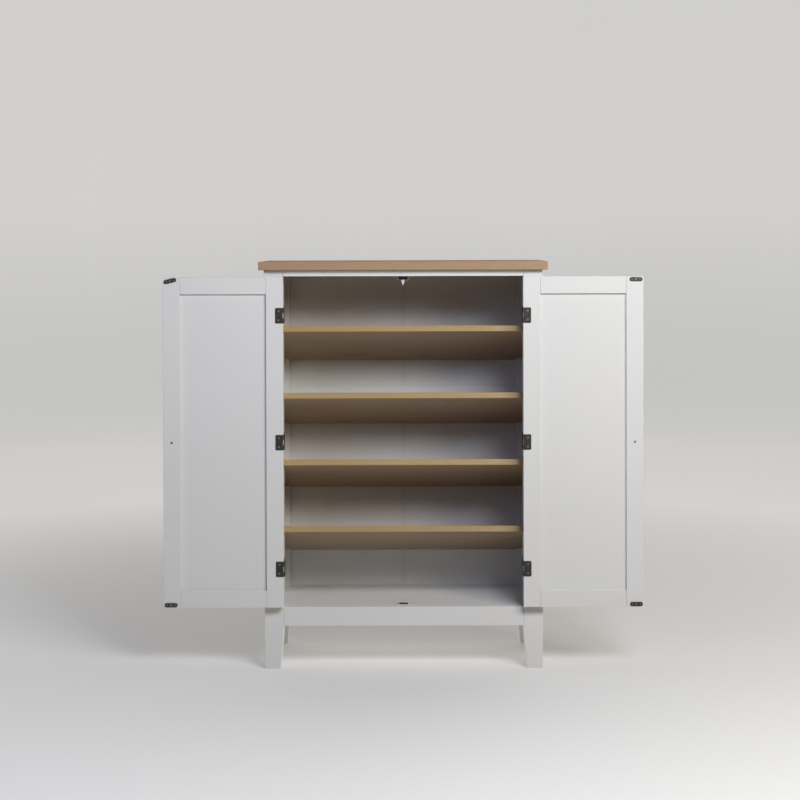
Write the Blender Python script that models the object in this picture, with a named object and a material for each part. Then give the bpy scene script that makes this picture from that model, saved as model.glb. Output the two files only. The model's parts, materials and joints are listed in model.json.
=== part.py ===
"""Two-door shoe cabinet on tapered legs, with sloping shelves and both doors swung right back.

Metres, +Z up. A person in front of it stands at -Y and looks along +Y. The origin is on the floor, under the
middle of the whole object with its doors open. A depth is measured backwards from the front of the legs.
Each door is built closed, on an empty that stands on its hinge axis, and the empty is then turned to open it.
"""

import math
from collections import namedtuple

import bmesh
import bpy
from mathutils import Matrix, Vector

# Whole cabinet, measured over the top board
CABINET_WIDTH = 0.850
CABINET_DEPTH = 0.370
CABINET_HEIGHT = 1.200
GAP = 0.0003  # between pieces that touch
EDGE_EASE = 0.0009  # rounding of the painted edges

# Top board
TOP_THICK = 0.025
TOP_SIDE_OVERHANG = 0.015
TOP_FRONT_OVERHANG = 0.018
TOP_BACK_OVERHANG = 0.002
TOP_EDGE_EASE = 0.0022

# Legs, which run up as the corner posts
LEG = 0.0555
LEG_FOOT = 0.046
LEG_CLEAR = 0.126  # floor to the lowest rails
LEG_TAPER_DROP = 0.020  # below the lowest rails, where the taper starts

# Rails of the carcass
TOP_RAIL_HEIGHT = 0.018
TOP_RAIL_DEPTH = 0.065
LOW_RAIL_HEIGHT = 0.056
SIDE_TOP_RAIL_HEIGHT = 0.060
BACK_TOP_RAIL_HEIGHT = 0.040
BACK_RAIL_THICK = 0.018
GROOVE = 0.008  # how far a panel's edge enters the piece that holds it

# Side panels
SIDE_PANEL_THICK = 0.012
SIDE_PANEL_INSET = 0.031  # outwards from the inner faces of the legs
SIDE_RAIL_WALL = 0.006  # rail on each side of the panel's groove
DADO = 0.004  # how far a shelf's end enters the side panel

# Back
BACK_PANEL_INSET = 0.016  # backwards from the front faces of the back legs
BACK_PANEL_THICK = 0.006
BACK_PANEL_LAP = 0.040  # below the top of the floor board
STRIP_WIDTH = 0.012
STRIP_FLANGE = 0.001
STRIP_WEB = 0.001
CENTRE_RAIL_HEIGHT = 0.050
CENTRE_RAIL_THICK = 0.010
CENTRE_RAIL_LIFT = 0.048  # above the back of the shelf below it

# Floor board and shelves
FLOOR_THICK = 0.015
SHELF_COUNT = 4
SHELF_THICK = 0.018
SHELF_TILT = math.radians(20.3)  # the front edge is the high one
SHELF_SETBACK = 0.005  # behind the closed doors
SHELF_EDGE_EASE = 0.0012
LOWEST_BAY = 0.2168  # at the front, floor board to the lowest shelf
HIGHEST_BAY = 0.1473  # at the front, highest shelf to the top rail
RAIL_OVER_SHELF = 3  # the back's centre rail is over this shelf, counted from below

# Doors
DOOR_THICK = 0.020
DOOR_FRAME = 0.050
DOOR_CENTRE_GAP = 0.0024
DOOR_TOP_GAP = 0.0015
DOOR_BOTTOM_GAP = 0.004
DOOR_PANEL_THICK = 0.006
TENON_THICK = 0.006
TENON_SHOULDER = 0.005  # from the door's end to its rail's tenon

# Hinges
HINGES_PER_DOOR = 3
HINGE_PLAY = 0.0006  # what the gap between closed door and leg has beyond the thickness of a leaf
AXIS_INSET = 0.0014  # from the middle of that gap to the axis, which is nearer the middle of the cabinet
HINGE_END = 0.113  # end of the door to the middle of its outer hinge
HINGE_HEIGHT = 0.045
LEAF_THICK = 0.0010
LEAF_WIDTH = 0.024
LEAF_CORNER = 0.003
KNUCKLE_RADIUS = 0.0035
PIN_RADIUS = 0.0016
PIN_HEAD_RADIUS = 0.0026
PIN_HEAD_THICK = 0.0012
LEAF_CLEARANCE = 0.0009  # between leaves that pass each other

# Knobs
KNOB_INSET = 0.025  # from the door's free edge
KNOB_RADIUS = 0.015
KNOB_LENGTH = 0.026
KNOB_FOOT_RADIUS = 0.0085
KNOB_FOOT_THICK = 0.0014
KNOB_NECK_RADIUS = 0.0055
KNOB_NECK = (0.0065, 0.0117)  # where the neck starts and ends, from the door
KNOB_SCREW_RADIUS = 0.002
SCREW_HEAD_RADIUS = 0.004
SCREW_HEAD_THICK = 0.0014

# Strike plates and catches
STRIKE_LENGTH = 0.038
STRIKE_HEIGHT = 0.0125
STRIKE_EDGE = 0.0025  # from the door's free edge
STRIKE_END = 0.0085  # door's end to the middle of the plate
LOOSE_STRIKE_END = 0.0106
LOOSE_STRIKE_TILT = math.radians(13)  # the left door's top plate has turned on its screw
CATCH_CLEARANCE = 0.0005
CATCH_DEPTH = 0.016
CATCH_BASE_THICK = 0.002
TOP_CATCH_BASE = 0.037
TOP_CATCH_BAR = (0.028, 0.0094)
TOP_CATCH_NOSE = (0.013, 0.016)
LOW_CATCH_BASE = 0.049
LOW_CATCH_BAR = (0.027, 0.0065)

# Facets
ROUND_SEGMENTS = 20
KNOB_SEGMENTS = 28
CORNER_STEPS = 4

# Worked out from the values above
CARCASS_HALF = CABINET_WIDTH / 2 - TOP_SIDE_OVERHANG
CARCASS_DEPTH = CABINET_DEPTH - TOP_FRONT_OVERHANG - TOP_BACK_OVERHANG
TOP_UNDERSIDE = CABINET_HEIGHT - TOP_THICK
FRAME_TOP = TOP_UNDERSIDE - GAP
POST_INNER = CARCASS_HALF - LEG
BACK_LEG_DEPTH = CARCASS_DEPTH - LEG
OPENING_TOP = TOP_UNDERSIDE - TOP_RAIL_HEIGHT
FLOOR_TOP = LEG_CLEAR + LOW_RAIL_HEIGHT
SIDE_PANEL_INNER = POST_INNER + SIDE_PANEL_INSET
SIDE_PANEL_OUTER = SIDE_PANEL_INNER + SIDE_PANEL_THICK
SIDE_RAIL_INNER = SIDE_PANEL_INNER - SIDE_RAIL_WALL
SIDE_RAIL_BOTTOM = TOP_UNDERSIDE - SIDE_TOP_RAIL_HEIGHT
BACK_PANEL_DEPTH = BACK_LEG_DEPTH + BACK_PANEL_INSET
BACK_PANEL_BACK = BACK_PANEL_DEPTH + BACK_PANEL_THICK
SHELF_BACK = BACK_PANEL_DEPTH - 2 * GAP - STRIP_FLANGE
SHELF_FRONT = DOOR_THICK + SHELF_SETBACK
SHELF_EDGE_RISE = SHELF_THICK * math.cos(SHELF_TILT)
SHELF_STACK = OPENING_TOP - FLOOR_TOP - LOWEST_BAY - HIGHEST_BAY - SHELF_EDGE_RISE
SHELF_PITCH = SHELF_STACK / (SHELF_COUNT - 1)
HINGE_GAP = LEAF_THICK + HINGE_PLAY
AXIS_OUT = KNUCKLE_RADIUS + GAP  # the axis stands this far in front of the legs
DOOR_WIDTH = POST_INNER - HINGE_GAP - DOOR_CENTRE_GAP / 2
DOOR_BOTTOM = FLOOR_TOP + DOOR_BOTTOM_GAP
DOOR_TOP = OPENING_TOP - DOOR_TOP_GAP
LEG_BEYOND = HINGE_GAP / 2 + AXIS_INSET  # from the axis to the inner face of the leg
DOOR_NEAR = HINGE_GAP - LEG_BEYOND  # from the axis to the door's hinge edge, towards its free edge
DOOR_FAR = DOOR_NEAR + DOOR_WIDTH
DOOR_FACE = AXIS_OUT  # closed door's outer face, backwards from the axis
DOOR_INSIDE = AXIS_OUT + DOOR_THICK
AXIS_X = POST_INNER - LEG_BEYOND
BORE_RADIUS = PIN_RADIUS + GAP
FRONT_OF_ALL = 2 * AXIS_OUT + DOOR_THICK + GAP + LEAF_THICK
FRONT_Y = (FRONT_OF_ALL - CARCASS_DEPTH - TOP_BACK_OVERHANG) / 2
CATCH_FRONT = DOOR_THICK + GAP + LEAF_THICK + CATCH_CLEARANCE

LEFT = -1
RIGHT = 1
SIDE_NAMES = {LEFT: "left", RIGHT: "right"}
PAINT = ("white_paint", (0.80, 0.80, 0.79), 0.45, 0.0)
OAK = ("oak", (0.50, 0.34, 0.19), 0.50, 0.0)
DARK_STEEL = ("dark_steel", (0.045, 0.045, 0.040), 0.40, 0.9)
STRIKE_STEEL = ("strike_steel", (0.11, 0.11, 0.10), 0.35, 0.9)
KNOB_STEEL = ("knob_steel", (0.42, 0.41, 0.39), 0.30, 1.0)
PLASTIC = ("white_plastic", (0.78, 0.78, 0.77), 0.40, 0.0)

Box = namedtuple("Box", "x y z")  # three (low, high) pairs


def depth_to_y(depth):
    return FRONT_Y + depth


def span_y(front, back):
    return (depth_to_y(front), depth_to_y(back))


def across(side, inner, outer):
    """The (low, high) pair of x for a span measured outwards from the middle on one side."""
    return tuple(sorted((side * inner, side * outer)))


def grown(box, by):
    return Box(*((low - by, high + by) for low, high in box))


# Meshes


def mesh_of(name, bm):
    bmesh.ops.recalc_face_normals(bm, faces=bm.faces)
    mesh = bpy.data.meshes.new(name)
    bm.to_mesh(mesh)
    bm.free()
    return mesh


def loft(name, loops):
    """A closed solid through a stack of outlines that all have the same number of points."""
    bm = bmesh.new()
    rings = [[bm.verts.new(point) for point in loop] for loop in loops]
    bm.faces.new(rings[0])
    bm.faces.new(rings[-1])
    for low, high in zip(rings, rings[1:]):
        for index in range(len(low)):
            after = (index + 1) % len(low)
            bm.faces.new((low[index], low[after], high[after], high[index]))
    return mesh_of(name, bm)


def prism(name, outline, axis, start, end):
    """An outline of (a, b) points extruded along the x, y or z axis, a and b being the other two in order."""

    def corner(point, along):
        values = list(point)
        values.insert("xyz".index(axis), along)
        return values

    return loft(name, [[corner(point, along) for point in outline] for along in (start, end)])


def arc(centre, radius, start, end, steps):
    """Points round a centre, from one angle to another in degrees."""
    points = []
    for step in range(steps + 1):
        angle = math.radians(start + (end - start) * step / steps)
        points.append((centre[0] + radius * math.cos(angle), centre[1] + radius * math.sin(angle)))
    return points


def turned(name, profile, segments):
    """A profile of (radius, height) points turned about Z. A point of radius 0 closes the end."""
    bm = bmesh.new()
    rings = []
    for radius, height in profile:
        if radius == 0:
            rings.append([bm.verts.new((0, 0, height))])
        else:
            angles = (2 * math.pi * step / segments for step in range(segments))
            spots = [(radius * math.cos(angle), radius * math.sin(angle), height) for angle in angles]
            rings.append([bm.verts.new(spot) for spot in spots])
    for low, high in zip(rings, rings[1:]):
        for step in range(segments):
            after = (step + 1) % segments
            corners = [low[step % len(low)], low[after % len(low)]]
            corners += [high[after % len(high)], high[step % len(high)]]
            bm.faces.new(tuple(dict.fromkeys(corners)))
    mesh = mesh_of(name, bm)
    mesh.shade_smooth()
    mesh.set_sharp_from_angle(angle=math.radians(40))
    return mesh


def cylinder(name, radius, low, high):
    return turned(name, [(0, low), (radius, low), (radius, high), (0, high)], ROUND_SEGMENTS)


# Objects


def material_of(look):
    name, colour, roughness, metallic = look
    material = bpy.data.materials.get(name)
    if material is None:
        material = bpy.data.materials.new(name)
        material.use_nodes = True
        shader = material.node_tree.nodes["Principled BSDF"]
        shader.inputs["Base Color"].default_value = (*colour, 1)
        shader.inputs["Roughness"].default_value = roughness
        shader.inputs["Metallic"].default_value = metallic
    return material


def place(name, mesh, look, location=(0, 0, 0), parent=None):
    piece = bpy.data.objects.new(name, mesh)
    if not mesh.materials:
        mesh.materials.append(material_of(look))
    piece.location = location
    piece.parent = parent
    bpy.context.scene.collection.objects.link(piece)
    return piece


def ease(piece, width):
    bevel = piece.modifiers.new("ease", "BEVEL")
    bevel.width = width
    bevel.segments = 2
    bevel.limit_method = "ANGLE"
    bevel.angle_limit = math.radians(40)


def board(name, box, look, edge=EDGE_EASE, parent=None):
    """A rectangular piece with eased edges, its origin in its middle."""
    middle = Vector([(low + high) / 2 for low, high in box])
    size = [high - low for low, high in box]
    bm = bmesh.new()
    bmesh.ops.create_cube(bm, size=1, matrix=Matrix.Diagonal((*size, 1)))
    piece = place(name, mesh_of(name, bm), look, middle, parent)
    if edge:
        ease(piece, edge)
    return piece


def helper(piece):
    """Keeps a cutter, or a solid to be joined on, out of the finished model."""
    piece.hide_render = True
    piece.display_type = "WIRE"
    return piece


def clearance(name, box, parent=None):
    return helper(board(name, grown(box, GAP), PAINT, 0, parent))


def boolean(piece, other, operation="DIFFERENCE"):
    modifier = piece.modifiers.new(other.name, "BOOLEAN")
    modifier.operation = operation
    modifier.object = other


def cut_each(piece, cutters):
    for cutter in cutters:
        boolean(piece, cutter)


def joined_mesh(name, solids, bore):
    """One mesh of several overlapping solids with a bore through them."""
    first, *rest = [place(f"{name}_{index}", mesh, DARK_STEEL) for index, mesh in enumerate(solids)]
    for other in rest:
        boolean(first, other, "UNION")
    hole = place(f"{name}_bore", bore, DARK_STEEL)
    boolean(first, hole)
    graph = bpy.context.evaluated_depsgraph_get()
    mesh = bpy.data.meshes.new_from_object(first.evaluated_get(graph))
    mesh.name = name
    for used in (first, hole, *rest):
        bpy.data.objects.remove(used)
    mesh.shade_smooth()
    mesh.set_sharp_from_angle(angle=math.radians(40))
    return mesh


# Carcass


def leg_box(side, back):
    depth = BACK_LEG_DEPTH if back else 0
    return Box(across(side, POST_INNER, CARCASS_HALF), span_y(depth, depth + LEG), (0, FRAME_TOP))


def leg(name, side, back):
    """A post whose outer faces are straight, and whose inner faces taper below the rails."""
    inward_y = -1 if back else 1
    loops = []
    for height, width in ((0, LEG_FOOT), (LEG_CLEAR - LEG_TAPER_DROP, LEG), (FRAME_TOP, LEG)):
        x = -side * width
        y = inward_y * width
        loops.append([(0, 0, height), (x, 0, height), (x, y, height), (0, y, height)])
    corner = (side * CARCASS_HALF, depth_to_y(CARCASS_DEPTH if back else 0), 0)
    piece = place(name, loft(name, loops), PAINT, corner)
    ease(piece, EDGE_EASE)
    return piece


def side_panel_box(side):
    tuck = GROOVE - GAP
    return Box(
        across(side, SIDE_PANEL_INNER, SIDE_PANEL_OUTER),
        span_y(LEG - tuck, BACK_LEG_DEPTH + tuck),
        (FLOOR_TOP - tuck, SIDE_RAIL_BOTTOM + tuck),
    )


def side_rail(name, side, bottom, top):
    rail_x = across(side, SIDE_RAIL_INNER, SIDE_PANEL_OUTER + SIDE_RAIL_WALL)
    return board(name, Box(rail_x, span_y(LEG + GAP, BACK_LEG_DEPTH - GAP), (bottom, top)), PAINT)


def back_panel_box(side):
    return Box(
        across(side, STRIP_WEB / 2 + GAP, POST_INNER + GROOVE - GAP),
        span_y(BACK_PANEL_DEPTH, BACK_PANEL_BACK),
        (FLOOR_TOP - BACK_PANEL_LAP, FRAME_TOP),
    )


def make_side(side):
    """The legs, rails and panel of one side, the panel housed in grooves and the shelves in the panel."""
    side_name = SIDE_NAMES[side]
    panel_clearance = clearance(f"{side_name}_side_groove", side_panel_box(side))
    back_clearance = clearance(f"{side_name}_back_groove", back_panel_box(side))
    front_leg = leg(f"front_leg_{side_name}", side, back=False)
    back_leg = leg(f"back_leg_{side_name}", side, back=True)
    top_rail = side_rail(f"side_top_rail_{side_name}", side, SIDE_RAIL_BOTTOM, FRAME_TOP)
    low_rail = side_rail(f"side_bottom_rail_{side_name}", side, LEG_CLEAR, FLOOR_TOP)
    for piece in (front_leg, back_leg, top_rail, low_rail):
        boolean(piece, panel_clearance)
    boolean(back_leg, back_clearance)
    panel = board(f"side_panel_{side_name}", side_panel_box(side), PAINT, 0)
    cut_each(panel, shelf_dados())


def make_rails_and_top():
    """What joins the two sides: the front and back rails, and the top board."""
    between = (-POST_INNER + GAP, POST_INNER - GAP)
    board("top_front_rail", Box(between, span_y(0, TOP_RAIL_DEPTH), (OPENING_TOP, FRAME_TOP)), PAINT)
    board("bottom_front_rail", Box(between, span_y(0, DOOR_THICK), (LEG_CLEAR, FLOOR_TOP)), PAINT)
    rail_front = BACK_PANEL_BACK + GAP
    rail_y = span_y(rail_front, rail_front + BACK_RAIL_THICK)
    board("back_top_rail", Box(between, rail_y, (TOP_UNDERSIDE - BACK_TOP_RAIL_HEIGHT, FRAME_TOP)), PAINT)
    board("back_bottom_rail", Box(between, rail_y, (LEG_CLEAR, FLOOR_TOP)), PAINT)
    top_box = Box(
        (-CABINET_WIDTH / 2, CABINET_WIDTH / 2),
        span_y(-TOP_FRONT_OVERHANG, CARCASS_DEPTH + TOP_BACK_OVERHANG),
        (TOP_UNDERSIDE, CABINET_HEIGHT),
    )
    board("top_board", top_box, OAK, TOP_EDGE_EASE)


def make_back():
    """Two panels joined by an H-shaped strip, and the centre rail in front of them."""
    for side, side_name in SIDE_NAMES.items():
        board(f"back_panel_{side_name}", back_panel_box(side), PAINT, 0)
    front = BACK_PANEL_DEPTH - GAP - STRIP_FLANGE
    back = BACK_PANEL_BACK + GAP + STRIP_FLANGE
    half = STRIP_WIDTH / 2
    web = STRIP_WEB / 2
    right_half = [
        (half, front),
        (half, front + STRIP_FLANGE),
        (web, front + STRIP_FLANGE),
        (web, back - STRIP_FLANGE),
        (half, back - STRIP_FLANGE),
        (half, back),
    ]
    outline = right_half + [(-x, depth) for x, depth in reversed(right_half)]
    strip_low = FLOOR_TOP + GAP
    strip_high = TOP_UNDERSIDE - BACK_TOP_RAIL_HEIGHT - GAP
    strip = prism("back_joint_strip", outline, "z", strip_low, strip_high)
    place("back_joint_strip", strip, PLASTIC, (0, depth_to_y(0), 0))

    rail_low = shelf_top_at(RAIL_OVER_SHELF - 1, SHELF_BACK) + CENTRE_RAIL_LIFT
    rail_box = Box(
        (-POST_INNER + GAP, POST_INNER - GAP),
        span_y(SHELF_BACK - CENTRE_RAIL_THICK, SHELF_BACK),
        (rail_low, rail_low + CENTRE_RAIL_HEIGHT),
    )
    board("back_centre_rail", rail_box, PAINT)


# Floor board and shelves


def shelf_height(index):
    """Height of the lower front corner of a shelf, counted from 0 at the bottom."""
    return FLOOR_TOP + LOWEST_BAY + index * SHELF_PITCH


def shelf_top_at(index, depth):
    thickness = SHELF_THICK / math.cos(SHELF_TILT)
    return shelf_height(index) + thickness - (depth - SHELF_FRONT) * math.tan(SHELF_TILT)


def shelf_profile(index, spare=0.0):
    """Outline of (depth, height): a square front edge and an upright back edge, with spare all round."""
    along = Vector((math.cos(SHELF_TILT), -math.sin(SHELF_TILT)))
    up = Vector((math.sin(SHELF_TILT), math.cos(SHELF_TILT)))
    low_front = Vector((SHELF_FRONT, shelf_height(index))) - spare * (along + up)
    high_front = low_front + (SHELF_THICK + 2 * spare) * up
    outline = [low_front, high_front]
    for corner in (high_front, low_front):
        run = (SHELF_BACK + spare - corner.x) / along.x
        outline.append(corner + run * along)
    return [tuple(point) for point in outline]


def shelf_solid(name, index, half_width, spare=0.0):
    mesh = prism(name, shelf_profile(index, spare), "x", -half_width, half_width)
    return place(name, mesh, OAK, (0, depth_to_y(0), 0))


def shelf_dados():
    """The cutters of the shelves' housings in the side panels, made once."""
    names = [f"shelf_{index + 1}_housing" for index in range(SHELF_COUNT)]
    if names[0] not in bpy.data.objects:
        for index, name in enumerate(names):
            helper(shelf_solid(name, index, SIDE_PANEL_INNER + DADO, GAP))
    return [bpy.data.objects[name] for name in names]


def make_boards():
    """The floor board, and the shelves with notches for the legs and the hinges' leaves."""
    notches = []
    for side, side_name in SIDE_NAMES.items():
        for back in (False, True):
            corner = "back" if back else "front"
            notches.append(clearance(f"{corner}_{side_name}_notch", leg_box(side, back)))
    floor_box = Box(
        (-SIDE_RAIL_INNER + GAP, SIDE_RAIL_INNER - GAP),
        span_y(DOOR_THICK + GAP, BACK_PANEL_DEPTH - GAP),
        (FLOOR_TOP - FLOOR_THICK, FLOOR_TOP),
    )
    floor = board("bottom_board", floor_box, PAINT)
    cut_each(floor, notches)

    leaf_notches = []
    for side, side_name in SIDE_NAMES.items():
        for number, middle in enumerate(hinge_heights(), 1):
            leaf_box = Box(
                across(side, POST_INNER - GAP - LEAF_THICK, POST_INNER),
                span_y(DOOR_THICK, frame_leaf_end() - AXIS_OUT),
                (middle - HINGE_HEIGHT / 2, middle + HINGE_HEIGHT / 2),
            )
            leaf_notches.append(clearance(f"{side_name}_leaf_{number}_notch", leaf_box))
    for index in range(SHELF_COUNT):
        shelf = shelf_solid(f"shelf_{index + 1}", index, SIDE_PANEL_INNER + DADO - GAP)
        ease(shelf, SHELF_EDGE_EASE)
        cut_each(shelf, notches + leaf_notches)


# Hinges, drawn for the left door closed: x towards the door's free edge, y backwards, origin on the axis


def hinge_heights():
    """Heights of the middles of a door's hinges, evenly spaced."""
    lowest = DOOR_BOTTOM + HINGE_END
    highest = DOOR_TOP - HINGE_END
    step = (highest - lowest) / (HINGES_PER_DOOR - 1)
    return [lowest + index * step for index in range(HINGES_PER_DOOR)]


def frame_leaf_start():
    """Where the frame leaf widens to full height, just behind the closed door's leaf."""
    return DOOR_INSIDE + GAP + LEAF_THICK + LEAF_CLEARANCE


def frame_leaf_end():
    return frame_leaf_start() + LEAF_WIDTH


def plate_outline(near, far, tongue_start, tongue_half):
    """A leaf with rounded far corners and, at its near side, a tongue, or a window if it starts further in."""
    half = HINGE_HEIGHT / 2
    centre = far - LEAF_CORNER
    low_corner = arc((centre, -half + LEAF_CORNER), LEAF_CORNER, -90, 0, CORNER_STEPS)
    high_corner = arc((centre, half - LEAF_CORNER), LEAF_CORNER, 0, 90, CORNER_STEPS)
    tongue = [(near, tongue_half), (tongue_start, tongue_half)]
    tongue += [(x, -height) for x, height in reversed(tongue)]
    return [(near, -half), *low_corner, *high_corner, (near, half), *tongue]


def hinge_meshes():
    """The meshes of a frame leaf, a door leaf and a pin."""
    half = HINGE_HEIGHT / 2
    third = HINGE_HEIGHT / 6
    bore = cylinder("bore", BORE_RADIUS, -HINGE_HEIGHT, HINGE_HEIGHT)
    root = BORE_RADIUS + GAP
    frame_x = -LEG_BEYOND + GAP
    centre_half = third - GAP / 2
    frame_outline = plate_outline(frame_leaf_start(), frame_leaf_end(), root, centre_half)
    frame_leaf = joined_mesh(
        "frame_leaf",
        [
            prism("plate", frame_outline, "x", frame_x, frame_x + LEAF_THICK),
            cylinder("knuckle", KNUCKLE_RADIUS, -centre_half, centre_half),
        ],
        bore,
    )

    door_x = DOOR_NEAR - GAP - LEAF_THICK
    window_half = third + LEAF_CLEARANCE
    window_start = frame_x + LEAF_THICK + LEAF_CLEARANCE
    inside = DOOR_INSIDE + GAP
    plate = plate_outline(door_x, door_x + LEAF_WIDTH, window_start, window_half)
    solids = [prism("plate", plate, "y", inside, inside + LEAF_THICK)]
    for sign in (-1, 1):
        z_span = sorted((sign * (third + GAP / 2), sign * half))
        solids.append(cylinder("knuckle", KNUCKLE_RADIUS, *z_span))
        tongue = [(door_x, root), (door_x + LEAF_THICK, root)]
        tongue += [(x, inside + LEAF_THICK) for x, _ in reversed(tongue)]
        solids.append(prism("tongue", tongue, "z", *sorted((sign * window_half, sign * half))))
    door_leaf = joined_mesh("door_leaf", solids, bore)

    head_low = half + GAP
    head_high = head_low + PIN_HEAD_THICK
    head = [(PIN_HEAD_RADIUS, head_low), (PIN_HEAD_RADIUS, head_high)]
    upper = [(PIN_RADIUS, head_low), *head, (0, head_high)]
    lower = [(radius, -height) for radius, height in reversed(upper)]
    pin = turned("pin", lower + upper, ROUND_SEGMENTS)
    return {"frame_leaf": frame_leaf, "door_leaf": door_leaf, "pin": pin}


def make_hinges(side, pivot, meshes):
    """The right side's hinges are the left side's turned half round about the y axis."""
    turn = math.pi if side == RIGHT else 0
    for number, middle in enumerate(hinge_heights(), 1):
        for kind, mesh in meshes.items():
            name = f"{SIDE_NAMES[side]}_hinge_{number}_{kind}"
            if kind == "door_leaf":
                piece = place(name, mesh, DARK_STEEL, (0, 0, middle), pivot)
            else:
                piece = place(name, mesh, DARK_STEEL, (side * AXIS_X, depth_to_y(-AXIS_OUT), middle))
            piece.rotation_euler.y = turn


# Doors, each in the frame of its pivot: x outwards from the axis to the free edge, y backwards


def door_span(side, near, far):
    return across(-side, near, far)


def door_rail(name, side, pivot, bottom, top, inner_edge, panel_clearance):
    """A rail between the stiles, with a tenon at each end. Returns the cutter of the tenons' mortises."""
    thickness = (DOOR_FACE, DOOR_INSIDE)
    x_span = door_span(side, DOOR_NEAR + DOOR_FRAME + GAP, DOOR_FAR - DOOR_FRAME - GAP)
    rail = board(name, Box(x_span, thickness, (bottom, top)), PAINT, EDGE_EASE, pivot)
    reach = GROOVE - 2 * GAP
    middle = (DOOR_FACE + DOOR_INSIDE) / 2
    if inner_edge == bottom:
        z_span = (bottom + GROOVE, top - TENON_SHOULDER)
    else:
        z_span = (bottom + TENON_SHOULDER, top - GROOVE)
    tenon_box = Box(
        (x_span[0] - reach, x_span[1] + reach),
        (middle - TENON_THICK / 2, middle + TENON_THICK / 2),
        z_span,
    )
    tenon = helper(board(f"{name}_tenon", tenon_box, PAINT, 0, pivot))
    boolean(rail, tenon, "UNION")
    boolean(rail, panel_clearance)
    return clearance(f"{name}_mortise", tenon_box, pivot)


def knob_mesh():
    """The knob and its screw, turned about Z, which runs out of the door. The screw's head is inside."""
    head_low = -DOOR_THICK - GAP - SCREW_HEAD_THICK
    dome = KNOB_LENGTH - KNOB_RADIUS / 2
    rim = arc((KNOB_RADIUS / 2, dome), KNOB_RADIUS / 2, -60, 75, 2 * CORNER_STEPS)
    profile = [
        (0, head_low),
        (SCREW_HEAD_RADIUS - SCREW_HEAD_THICK, head_low),
        (SCREW_HEAD_RADIUS, head_low + SCREW_HEAD_THICK / 2),
        (SCREW_HEAD_RADIUS, -DOOR_THICK - GAP),
        (KNOB_SCREW_RADIUS, -DOOR_THICK - GAP),
        (KNOB_SCREW_RADIUS, GAP),
        (KNOB_FOOT_RADIUS, GAP),
        (KNOB_FOOT_RADIUS, GAP + KNOB_FOOT_THICK),
        (KNOB_NECK_RADIUS, KNOB_NECK[0]),
        (KNOB_NECK_RADIUS, KNOB_NECK[1]),
        *rim,
        (0, KNOB_LENGTH),
    ]
    return turned("knob", profile, KNOB_SEGMENTS)


def make_knob(side, pivot, stile, mesh):
    where = (-side * (DOOR_FAR - KNOB_INSET), DOOR_FACE, (DOOR_BOTTOM + DOOR_TOP) / 2)
    knob = place(f"{SIDE_NAMES[side]}_knob", mesh, KNOB_STEEL, where, pivot)
    knob.rotation_euler.x = math.pi / 2
    hole_mesh = cylinder("knob_hole", KNOB_SCREW_RADIUS + GAP, -2 * DOOR_THICK, DOOR_THICK)
    hole = helper(place(f"{SIDE_NAMES[side]}_knob_hole", hole_mesh, PAINT, where, pivot))
    hole.rotation_euler.x = math.pi / 2
    boolean(stile, hole)


def strike_mesh():
    """A plate with round ends, lying in x and z, its back on y = 0."""
    radius = STRIKE_HEIGHT / 2
    centre = STRIKE_LENGTH / 2 - radius
    steps = 2 * CORNER_STEPS
    outline = arc((centre, 0), radius, -90, 90, steps) + arc((-centre, 0), radius, 90, 270, steps)
    return prism("strike", outline, "y", 0, LEAF_THICK)


def make_strikes(side, pivot, mesh):
    middle = DOOR_FAR - STRIKE_EDGE - STRIKE_LENGTH / 2
    for end in ("top", "bottom"):
        loose = side == LEFT and end == "top"
        inset = LOOSE_STRIKE_END if loose else STRIKE_END
        height = DOOR_TOP - inset if end == "top" else DOOR_BOTTOM + inset
        where = (-side * middle, DOOR_INSIDE + GAP, height)
        strike = place(f"{SIDE_NAMES[side]}_{end}_strike", mesh, STRIKE_STEEL, where, pivot)
        if loose:
            strike.rotation_euler.y = LOOSE_STRIKE_TILT


def make_door(side, meshes):
    """Frame, panel, knob, strike plates and hinges of one door, built closed and then swung open."""
    name = f"{SIDE_NAMES[side]}_door"
    pivot = bpy.data.objects.new(f"{name}_pivot", None)
    pivot.location = (side * AXIS_X, depth_to_y(-AXIS_OUT), 0)
    bpy.context.scene.collection.objects.link(pivot)

    middle = (DOOR_FACE + DOOR_INSIDE) / 2
    tuck = DOOR_FRAME - GROOVE + GAP
    panel_box = Box(
        door_span(side, DOOR_NEAR + tuck, DOOR_FAR - tuck),
        (middle - DOOR_PANEL_THICK / 2, middle + DOOR_PANEL_THICK / 2),
        (DOOR_BOTTOM + tuck, DOOR_TOP - tuck),
    )
    board(f"{name}_panel", panel_box, PAINT, 0, pivot)
    panel_clearance = clearance(f"{name}_panel_groove", panel_box, pivot)
    low_edge = DOOR_BOTTOM + DOOR_FRAME
    high_edge = DOOR_TOP - DOOR_FRAME
    mortises = [
        door_rail(f"{name}_top_rail", side, pivot, high_edge, DOOR_TOP, high_edge, panel_clearance),
        door_rail(f"{name}_bottom_rail", side, pivot, DOOR_BOTTOM, low_edge, low_edge, panel_clearance),
    ]
    stiles = []
    for kind, near in (("hinge", DOOR_NEAR), ("meeting", DOOR_FAR - DOOR_FRAME)):
        x_span = door_span(side, near, near + DOOR_FRAME)
        stile_box = Box(x_span, (DOOR_FACE, DOOR_INSIDE), (DOOR_BOTTOM, DOOR_TOP))
        stile = board(f"{name}_{kind}_stile", stile_box, PAINT, EDGE_EASE, pivot)
        cut_each(stile, [panel_clearance, *mortises])
        stiles.append(stile)

    make_knob(side, pivot, stiles[-1], meshes["knob"])
    make_strikes(side, pivot, meshes["strike"])
    make_hinges(side, pivot, meshes["hinge"])
    pivot.rotation_euler.z = side * math.pi


# Catches


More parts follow.
